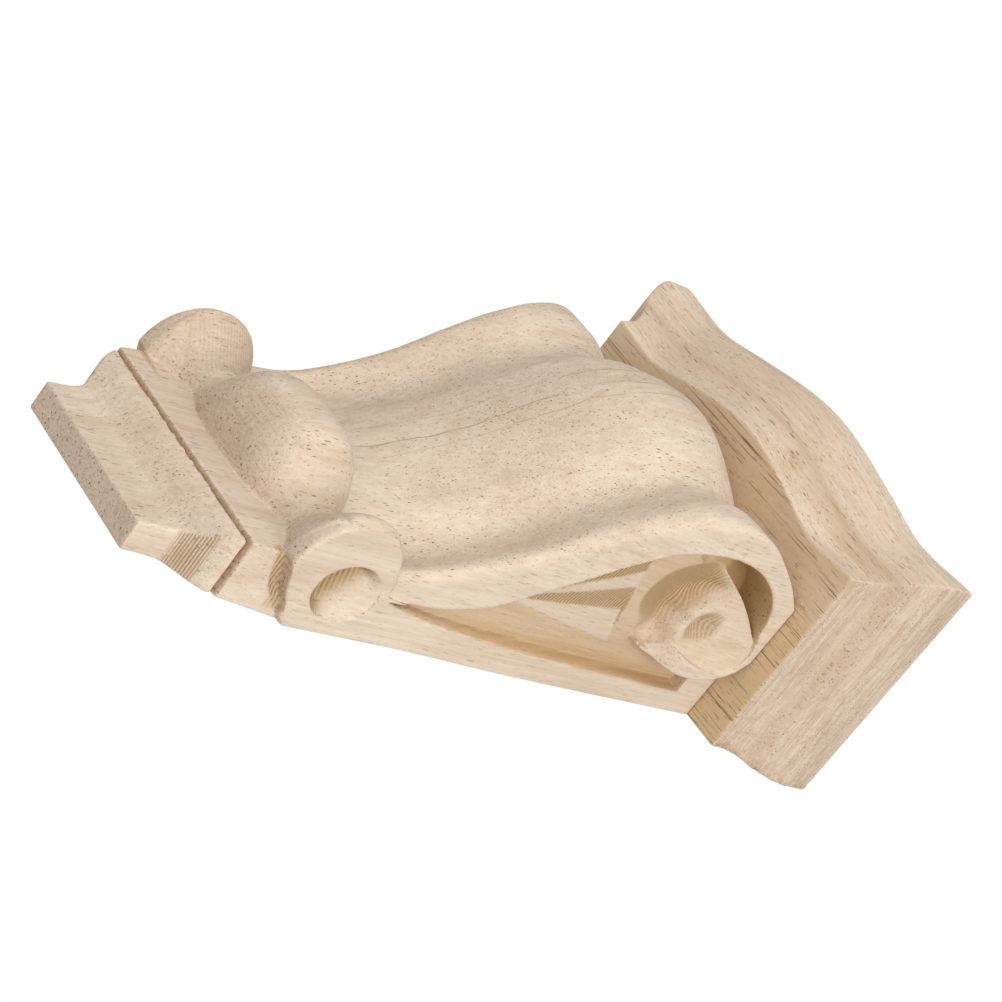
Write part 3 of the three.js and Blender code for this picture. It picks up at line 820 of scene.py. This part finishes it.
def cap_field(s, z, w):
    """Signed distance of the cap over the grid s, z, w."""
    S, Z, W = s[:, None, None], z[None, :, None], w[None, None, :]
    out = cap_out(z)
    lean = (1 / np.sqrt(1 + np.gradient(out, z) ** 2))[None, :, None].astype(np.float32)
    half = CAP_HALF_WIDTH + out
    share = np.clip(s[:, None] / half[None], 0, 1)
    start, run = CAP_DIP_FADE
    dip = CAP_DIP * np.sin(np.pi * np.clip((share - start) / run, 0, 1)) ** 2
    swell = CAP_SWELL * (1 - smooth(share / CAP_SWELL_REACH)) - dip
    front = CAP_CORNER_DEPTH + out[None] + swell
    ends = (S - half[None, :, None]).astype(np.float32) * lean
    face = (W - front[:, :, None]).astype(np.float32) * lean
    solid = smax(ends, face, SOFT)

    # Splinters broke out of the ends at the back
    coarse, fine = [noise((s, z, w), *layer) for layer in zip(SPLINTER_SIZES, SPLINTER_SEEDS)]
    torn = np.maximum(coarse - SPLINTER_LEAST, 0) + SPLINTER_FINE_SHARE * fine
    near_end = past(ends, -SPLINTER_RUN, SPLINTER_RUN) * np.exp(-np.square(W / SPLINTER_DEPTH))
    solid = solid + (SPLINTER_HEIGHT * np.maximum(torn, 0) * near_end).astype(np.float32)

    solid = smax(solid, Z - np.float32(CAP_HEIGHT), CAP_TOP_EDGE)
    solid = smax(solid, -W, CAP_BACK_EDGE)
    return smax(solid, -Z, CAP_LOW_EDGE)


CORNERS = np.array([(i, j, k) for i in (0, 1) for j in (0, 1) for k in (0, 1)])
EDGES = [(a, b) for a in range(8) for b in range(8)
         if a < b and abs(CORNERS[a] - CORNERS[b]).sum() == 1]


def surface(field, axes):
    """Points and quads of the zero surface of a field, one point in each crossed cell."""
    inside = field < 0
    count = np.zeros([n - 1 for n in field.shape], np.uint8)
    for i, j, k in CORNERS:
        count += inside[i:i + count.shape[0], j:j + count.shape[1], k:k + count.shape[2]]
    cells = np.argwhere((count > 0) & (count < 8))
    number = np.full(count.shape, -1, np.int32)
    number[tuple(cells.T)] = np.arange(len(cells))
    values = [field[tuple((cells + c).T)] for c in CORNERS]
    total = np.zeros((len(cells), 3))
    crossed = np.zeros(len(cells))
    for a, b in EDGES:
        cut = (values[a] < 0) != (values[b] < 0)
        gap = np.where(cut, values[a] - values[b], 1)
        t = (values[a] / gap)[:, None]
        total += np.where(cut[:, None], CORNERS[a] + (CORNERS[b] - CORNERS[a]) * t, 0)
        crossed += cut
    local = cells + total / crossed[:, None]
    points = np.column_stack([np.interp(local[:, k], np.arange(len(a)), a)
                              for k, a in enumerate(axes)])
    quads = []
    for axis in range(3):
        u, v = (axis + 1) % 3, (axis + 2) % 3
        first = np.take(inside, range(field.shape[axis] - 1), axis)
        second = np.take(inside, range(1, field.shape[axis]), axis)
        spots = np.argwhere(first != second)
        spots = spots[(spots[:, u] > 0) & (spots[:, v] > 0)
                      & (spots[:, u] < field.shape[u] - 1) & (spots[:, v] < field.shape[v] - 1)]
        leaving = first[tuple(spots.T)]
        ring = []
        for du, dv in ((0, 0), (1, 0), (1, 1), (0, 1)):
            cell = spots.copy()
            cell[:, u] -= du
            cell[:, v] -= dv
            ring.append(number[tuple(cell.T)])
        ring = np.column_stack(ring)
        ring[leaving] = ring[leaving][:, ::-1]
        quads.append(ring[:, ::-1])
    return points, np.vstack(quads)


def mesh_from(name, points, quads):
    mesh = bpy.data.meshes.new(name)
    mesh.vertices.add(len(points))
    mesh.vertices.foreach_set("co", points.astype(np.float32).ravel())
    mesh.loops.add(quads.size)
    mesh.loops.foreach_set("vertex_index", quads.astype(np.int32).ravel())
    mesh.polygons.add(len(quads))
    mesh.polygons.foreach_set("loop_start", np.arange(0, quads.size, 4, dtype=np.int32))
    mesh.update(calc_edges=True)
    mesh.validate()
    return mesh


def thin(piece, share):
    """Gives the piece a mesh with about this share of its triangles."""
    modifier = piece.modifiers.new("thin", "DECIMATE")
    modifier.ratio = min(1, share)
    held = bpy.context.evaluated_depsgraph_get()
    mesh = bpy.data.meshes.new_from_object(piece.evaluated_get(held))
    piece.modifiers.clear()
    piece.data = mesh
    mesh.name = piece.name


def shade_smooth(piece):
    """Smooth shading with sharp edges kept, and normals that follow the larger faces."""
    mesh = piece.data
    mesh.set_sharp_from_angle(angle=math.radians(SHARP_ANGLE))
    mesh.polygons.foreach_set("use_smooth", [True] * len(mesh.polygons))
    weighted = piece.modifiers.new("normals", "WEIGHTED_NORMAL")
    weighted.keep_sharp = True
    weighted.weight = NORMAL_WEIGHT


def store_marks(mesh, marks, low_z):
    """Stores the shares of cutter marks and sunk wood at the mesh's points."""
    spots = np.empty(len(mesh.vertices) * 3, np.float32)
    mesh.vertices.foreach_get("co", spots)
    x, y, z = spots.reshape(-1, 3).T.astype(float) / MM
    for key, values in zip(("worked", "sunk"), marks(x, z - low_z, -y)):
        layer = mesh.attributes.new(key, "FLOAT", "POINT")
        layer.data.foreach_set("value", values.astype(np.float32))


def make_piece(name, field, axes, low_z, triangles, material, body, marks=None):
    """Mirrors a half field, makes its surface, thins it and places it as a piece."""
    s, h, w = axes
    whole = np.concatenate([field[:0:-1], field]).astype(np.float32)
    points, quads = surface(whole, (np.concatenate([-s[:0:-1], s]), h, w))
    placed = np.column_stack([points[:, 0], -points[:, 2], points[:, 1] + low_z]) * MM
    piece = bpy.data.objects.new(name, mesh_from(name, placed, quads))
    bpy.context.scene.collection.objects.link(piece)
    thin(piece, triangles / (2 * len(quads)))
    piece.data.materials.clear()
    piece.data.materials.append(material)
    shade_smooth(piece)
    if marks:
        store_marks(piece.data, marks, low_z)
    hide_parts(body)
    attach(piece, "root")


def ticks(low, high):
    return np.arange(low, high + CELL, CELL)


def grid(half_width, height, depth):
    """Axes over half a piece, a little past its back, foot and top."""
    return (ticks(0, half_width), ticks(-GRID_MARGIN, height + GRID_TOP_MARGIN),
            ticks(-GRID_MARGIN, depth))


class Nodes:
    """Small helper that builds a material's node tree."""

    def __init__(self, name):
        self.material = bpy.data.materials.new(name)
        self.material.use_nodes = True
        self.tree = self.material.node_tree
        self.tree.nodes.clear()

    def add(self, kind, inputs=None, **settings):
        """New node, whose inputs are linked to sockets or set to plain values."""
        node = self.tree.nodes.new(kind)
        for key, value in settings.items():
            setattr(node, key, value)
        for key, value in (inputs or {}).items():
            if isinstance(value, bpy.types.NodeSocket):
                self.tree.links.new(value, node.inputs[key])
            else:
                node.inputs[key].default_value = value
        return node

    def math(self, operation, a, b=0.0, c=0.0):
        return self.add("ShaderNodeMath", {0: a, 1: b, 2: c}, operation=operation).outputs[0]

    def times(self, *factors):
        product = factors[0]
        for factor in factors[1:]:
            product = self.math("MULTIPLY", product, factor)
        return product

    def rest(self, share):
        """What is left of 1 beside the share."""
        return self.math("SUBTRACT", 1.0, share)

    def vector(self, operation, a, b):
        return self.add("ShaderNodeVectorMath", {0: a, 1: b}, operation=operation).outputs

    def parts(self, vector):
        return self.add("ShaderNodeSeparateXYZ", {0: vector}).outputs

    def ramp(self, value, low, high):
        """0 at low and before, 1 at high and past it, also where high is below low."""
        return self.add("ShaderNodeMapRange", {"Value": value, "From Min": low, "From Max": high},
                        clamp=True).outputs[0]

    def blend(self, share, a, b):
        return self.add("ShaderNodeMix", {0: share, 6: a, 7: b}, data_type="RGBA").outputs[2]

    def noise(self, vector, detail=2.0, rough=0.5, scale=1.0):
        return self.add("ShaderNodeTexNoise", {"Vector": vector, "Scale": scale, "Detail": detail,
                                               "Roughness": rough}).outputs[0]

    def cells(self, vector):
        """Distance to the nearest of scattered points, and two random numbers of its own."""
        found = self.add("ShaderNodeTexVoronoi", {"Vector": vector, "Scale": 1.0}).outputs
        pick = self.add("ShaderNodeSeparateColor", {0: found["Color"]}).outputs
        return found["Distance"], pick[0], pick[1]


class Wood(Nodes):
    """Bare wood whose grain runs along the unit vector grain, X or Z."""

    def __init__(self, name, grain, pale, tan):
        super().__init__(name)
        self.grain = grain
        geometry = self.add("ShaderNodeNewGeometry").outputs
        self.place = geometry["Position"]
        self.spot = self.parts(self.place)
        self.facing = self.parts(geometry["True Normal"])
        along = self.vector("DOT_PRODUCT", geometry["True Normal"], grain)["Value"]
        self.end_share = self.ramp(self.math("ABSOLUTE", along), *END_FACING)

        cloud = self.noise(self.stretched(*CLOUD_SIZE), 3.0)
        streak = self.noise(self.stretched(*STREAK_SIZE), 3.0, 0.6)
        self.fine = self.noise(self.stretched(*FINE_SIZE), 2.0, 0.7)
        mixed = self.times(cloud, CLOUD_SHARE)
        for layer, share in ((streak, STREAK_SHARE), (self.fine, FINE_SHARE)):
            mixed = self.math("ADD", mixed, self.times(layer, share))
        self.colour = self.blend(self.ramp(mixed, *GRAIN_RANGE), (*pale, 1), (*tan, 1))
        slow = self.noise(self.stretched(*SLOW_SIZE), 3.0, 0.55)
        self.tint(SLOW_STAIN, self.ramp(slow, *SLOW_RANGE))
        self.height = self.times(self.fine, FINE_RELIEF)

    def stretched(self, across, along):
        """Place counted in lengths of the given size across and along the grain."""
        sizes = [along if g else across for g in self.grain]
        return self.vector("MULTIPLY", self.place, [1 / (size * MM) for size in sizes])["Vector"]

    def tint(self, stain, *shares):
        """Blends the stain in by its strength and the product of the shares."""
        tone, strength = stain
        self.colour = self.blend(self.times(*shares, strength), self.colour, (*tone, 1))

    def lift(self, *factors):
        """Raises the relief by the product of the factors."""
        self.height = self.math("ADD", self.height, self.times(*factors))

    def growth_lines(self):
        """Dark lines of the year rings, which wander and fade out towards the foot."""
        drift = self.times(self.noise(self.stretched(*DRIFT_SIZE)), DRIFT_REACH * MM)
        lead = self.math("ADD", self.spot["X"], drift)
        patchy = self.ramp(self.noise(self.stretched(*PATCH_SIZE)), *PATCH_RANGE)
        above_foot = self.ramp(self.spot["Z"], GROWTH_LOW * MM, GROWTH_FULL * MM)
        for offset, width, strength in GROWTH_LINES:
            gap = self.math("ABSOLUTE", self.math("SUBTRACT", lead, offset * MM))
            line = self.rest(self.ramp(gap, 0.0, width * MM))
            self.tint((GROWTH_TONE, strength), line, patchy, above_foot)

    def pores(self, tone, openness=1.0):
        """Short dashes along the grain, dots where it is cut across."""
        marks = 0.0
        for size, length, least, more, strength in PORES:
            distance, first, second = self.cells(self.stretched(size, length))
            core = self.math("SUBTRACT", self.math("MULTIPLY_ADD", first, more, least), distance)
            dark = self.times(self.ramp(core, 0.0, PORE_EDGE),
                              self.times(self.ramp(second, *PORE_PICK), strength))
            marks = self.math("MAXIMUM", dark, marks)
        crowd = self.ramp(self.noise(self.stretched(*CROWD_SIZE)), *CROWD_RANGE)
        crowd = self.math("MULTIPLY_ADD", crowd, 1 - CROWD_LEAST, CROWD_LEAST)
        self.tint((tone, PORE_SHARE), marks, self.times(crowd, openness))
        self.lift(marks, -PORE_RELIEF)

    def finish(self, corner_shade):
        """Paints shade into closed corners and gives the wood its rough, bare surface."""
        self.lift(self.noise(self.place, 2.0, 0.6, FUZZ_SCALE), FUZZ_RELIEF)
        self.lift(self.noise(self.place, 2.0, 0.6, ROUGH_SCALE),
                  self.times(self.end_share, ROUGH_RELIEF))
        # Painted shade: darker where ambient occlusion finds the wood closed in
        hollow = self.add("ShaderNodeAmbientOcclusion", {"Distance": CORNER_SHADE_REACH * MM}, samples=8)
        closed_in = self.rest(hollow.outputs["AO"])
        self.tint(corner_shade, self.ramp(closed_in, *CORNER_SHADE_RANGE))
        bump = self.add("ShaderNodeBump", {"Height": self.height, "Strength": BUMP_STRENGTH,
                                           "Distance": RELIEF_DEPTH * MM})
        shader = self.add("ShaderNodeBsdfPrincipled", {
            "Base Color": self.colour, "Roughness": ROUGHNESS, "Normal": bump.outputs[0],
            "Specular IOR Level": SPECULAR})
        self.add("ShaderNodeOutputMaterial", {"Surface": shader.outputs[0]})
        return self.material


def cap_underside(wood):
    """Painted shade on faces turned down; the underside gets its own darker, redder tone with
    painted shade, less of it along its front edge. Returns where it lies.
    """
    lean = wood.times(wood.facing["Z"], -1.0)
    # Painted shade on faces that turn down
    wood.tint(DOWNWARD_SHADE, wood.ramp(lean, *DOWNWARD_SHADE_RANGE))
    down = wood.times(wood.ramp(lean, *DOWN_RANGE),
                      wood.ramp(wood.spot["Z"], (CAP_LOW + UNDER_HEIGHT[1]) * MM,
                                (CAP_LOW + UNDER_HEIGHT[0]) * MM))
    strip = wood.ramp(wood.spot["Y"], -UNDER_STRIP[0] * MM, -UNDER_STRIP[1] * MM)
    share = wood.math("SUBTRACT", UNDER_TONE_AND_SHADE_SHARE, wood.times(strip, UNDER_STRIP_SHARE))
    wood.tint((UNDER_TONE_AND_SHADE, share), down)
    return down


def cap_end_grain(wood):
    """Growth rings cut across show on the ends as fuzzy bands along the mouldings."""
    for size, limits, stain, detail, rough in (
            (BAND_SIZE, BAND_RANGE, BAND_STAIN, 4.0, 0.7),
            (THREAD_SIZE, THREAD_RANGE, THREAD_STAIN, 2.0, 0.6)):
        spread = wood.vector("MULTIPLY", wood.place, [1 / (v * MM) for v in size])["Vector"]
        shown = wood.ramp(wood.noise(spread, detail, rough), *limits)
        wood.tint(stain, shown, wood.end_share)


def cap_vessels(wood, down):
    """Long open vessels, plainest on the underside."""
    vessel = wood.ramp(wood.noise(wood.stretched(*VESSEL_SIZE)), *VESSEL_RANGE)
    reach = wood.math("ADD", VESSEL_SHARE, wood.times(down, VESSEL_MORE_BELOW))
    wood.tint((VESSEL_TONE, reach), vessel, wood.rest(wood.end_share))


def cap_knot(wood):
    """Small knot on the front, drawn out along the grain."""
    x, z, size = KNOT
    offset = wood.vector("SUBTRACT", wood.place, (x * MM, 0, (CAP_LOW + z) * MM))["Vector"]
    flattened = wood.vector("MULTIPLY", offset, (1 / KNOT_STRETCH, 0, 1))["Vector"]
    distance = wood.vector("LENGTH", flattened, (0, 0, 0))["Value"]
    knot = wood.ramp(distance, KNOT_RIM[1] * size * MM, KNOT_RIM[0] * size * MM)
    on_front = wood.ramp(wood.spot["Y"], -KNOT_DEPTH[0] * MM, -KNOT_DEPTH[1] * MM)
    whorl = wood.ramp(wood.noise(wood.stretched(*WHORL_SIZE), 3.0, 0.7), *WHORL_RANGE)
    wood.tint(KNOT_STAIN, knot, on_front, whorl)


def cap_breakouts(wood):
    """Splintered, darker wood at the back of the two ends."""
    at_back = wood.ramp(wood.spot["Y"], -BREAK_DEPTH[0] * MM, -BREAK_DEPTH[1] * MM)
    patch = wood.ramp(wood.noise(wood.place, 2.0, 0.6, BREAK_SCALE), *BREAK_RANGE)
    wood.tint(BREAK_STAIN, at_back, wood.end_share, patch)


def foot_comb(wood, sideways):
    """Wood of the foot's sides, which was cut across the grain. Returns where it lies."""
    level = wood.math("SUBTRACT", wood.spot["Z"], FOOT_Z * MM)
    comb = wood.times(wood.ramp(level, COMB_LOW[0] * MM, COMB_LOW[1] * MM),
                      wood.ramp(level, COMB_TOP[1] * MM, COMB_TOP[0] * MM))
    comb = wood.times(comb, wood.ramp(sideways, *COMB_FACING))
    wood.tint(COMB_STAIN, comb)
    return comb


def paint_groove_shade(wood):
    """Painted shade in the foot's V groove."""
    level = wood.math("SUBTRACT", wood.spot["Z"], FOOT_Z * MM)
    away = wood.math("ABSOLUTE", wood.math("SUBTRACT", level, GROOVE_HEIGHT * MM))
    groove_shade_share = wood.times(wood.ramp(away, FOOT_GROOVE_SHADE_REACH[1] * MM, FOOT_GROOVE_SHADE_REACH[0] * MM),
                        wood.ramp(wood.spot["Y"], -FOOT_GROOVE_SHADE_DEPTH[0] * MM, -FOOT_GROOVE_SHADE_DEPTH[1] * MM))
    wood.tint(FOOT_GROOVE_SHADE, groove_shade_share)


def cutter_steps(wood, comb):
    """Even steps that the cutter left across the grain."""
    cutter = wood.add("ShaderNodeAttribute", attribute_name="worked").outputs["Fac"]
    turns = wood.times(wood.spot["Z"], 2 * math.pi / (CUTTER_PITCH * MM))
    waver = wood.times(wood.noise(wood.stretched(*WAVER_SIZE)), CUTTER_WAVER)
    step = wood.math("SINE", wood.math("ADD", turns, waver))
    broken = wood.ramp(wood.noise(wood.stretched(*GAP_SIZE)), *GAP_RANGE)
    teeth = wood.math("SINE", wood.times(wood.spot["Z"], 2 * math.pi / (TOOTH_PITCH * MM)))
    step = wood.math("ADD", wood.times(step, cutter, broken), wood.times(teeth, comb))
    wood.tint(CUTTER_STAIN, cutter)
    wood.lift(step, STEP_RELIEF)
    wood.tint(STEP_DARK_STAIN, wood.ramp(step, *STEP_DARK_RANGE))
    wood.tint(STEP_LIGHT_STAIN, wood.ramp(step, *STEP_LIGHT_RANGE))


def body_end_grain(wood):
    """Vessels cut across show as dark dots, and crushed fibres stipple the end grain."""
    distance, pick, _ = wood.cells(wood.stretched(*HOLE_SIZE))
    hole = wood.math("SUBTRACT", wood.times(pick, HOLE_WIDTH), distance)
    hole = wood.times(wood.ramp(hole, 0.0, HOLE_EDGE), wood.end_share)
    wood.tint(HOLE_STAIN, hole)
    wood.lift(hole, -1.0)
    stipple = wood.ramp(wood.noise(wood.place, 2.0, 0.6, STIPPLE_SCALE), *STIPPLE_RANGE)
    wood.tint(STIPPLE_STAIN, stipple, wood.end_share)


def cap_wood():
    """Wood of the cap: grain across the width, end grain on the two sides."""
    wood = Wood("cap_wood", (1.0, 0.0, 0.0), CAP_PALE, CAP_TAN)
    wood.tint(END_STAIN, wood.end_share)
    down = cap_underside(wood)
    cap_end_grain(wood)
    cap_vessels(wood, down)
    wood.pores(CAP_PORE)
    cap_knot(wood)
    cap_breakouts(wood)
    return wood.finish(CAP_CORNER_SHADE)


def body_wood():
    """Wood of the body: grain up the height, browner where the carving is sunk, from the tone of
    torn wood and from painted shade.
    """
    wood = Wood("body_wood", (0.0, 0.0, 1.0), BODY_PALE, BODY_TAN)
    wood.growth_lines()
    wood.tint(END_STAIN, wood.end_share)
    # The vessels lie along the carved sides and open on the front
    sideways = wood.math("ABSOLUTE", wood.facing["X"])
    wood.pores(BODY_PORE, wood.rest(wood.times(wood.ramp(sideways, *SIDE_FACING), SIDE_CLOSING)))
    # Sunk carving: tone of torn wood with painted shade in its hollows
    sunk = wood.add("ShaderNodeAttribute", attribute_name="sunk").outputs["Fac"]
    wood.tint(SUNK_TONE_AND_SHADE, sunk)
    comb = foot_comb(wood, sideways)
    paint_groove_shade(wood)
    cutter_steps(wood, comb)
    body_end_grain(wood)
    return wood.finish(BODY_CORNER_SHADE)


def lamp(name, place, power, size):
    data = bpy.data.lights.new(name, "AREA")
    data.energy = power
    data.size = size
    light = bpy.data.objects.new(name, data)
    light.location = place
    toward = Vector(LAMP_AIM) - Vector(place)
    light.rotation_euler = toward.to_track_quat("-Z", "Y").to_euler()
    bpy.context.scene.collection.objects.link(light)


body_axes = grid(BODY_GRID_HALF, BODY_TOP, BODY_GRID_DEPTH)
make_piece("carved_body", body_field(*body_axes), body_axes, FOOT_Z, BODY_TRIANGLES,
           body_wood(), "body", hand_marks)
cap_axes = grid(CAP_GRID_HALF, CAP_HEIGHT, CAP_GRID_DEPTH)
make_piece("moulded_cap", cap_field(*cap_axes), cap_axes, CAP_LOW, CAP_TRIANGLES,
           cap_wood(), "cap")

for name, (place, power, size) in LAMPS.items():
    lamp(name, place, power, size)

# White surroundings that light the wood softly
world = bpy.data.worlds.new("studio")
bpy.context.scene.world = world
world.use_nodes = True
sky = world.node_tree
backing = sky.nodes["Background"]
backing.inputs["Color"].default_value = (1, 1, 1, 1)
seen = sky.nodes.new("ShaderNodeLightPath")
level = sky.nodes.new("ShaderNodeMapRange")
level.inputs["To Min"].default_value = SKY_LIGHT
level.inputs["To Max"].default_value = SKY_SEEN
sky.links.new(seen.outputs["Is Camera Ray"], level.inputs["Value"])
sky.links.new(level.outputs[0], backing.inputs["Strength"])
bpy.context.scene.view_settings.view_transform = "Standard"

camera = bpy.data.cameras.new("camera")
camera.sensor_width = CAMERA_SENSOR
camera.lens = CAMERA_LENS
camera.clip_start, camera.clip_end = CAMERA_CLIP
view = bpy.data.objects.new("camera", camera)
view.location = CAMERA_PLACE
view.rotation_mode = "QUATERNION"
away = Vector(CAMERA_TARGET) - Vector(CAMERA_PLACE)
roll = Quaternion((0, 0, 1), math.radians(CAMERA_ROLL))
view.rotation_quaternion = away.to_track_quat("-Z", "Y") @ roll
bpy.context.scene.collection.objects.link(view)
bpy.context.scene.camera = view
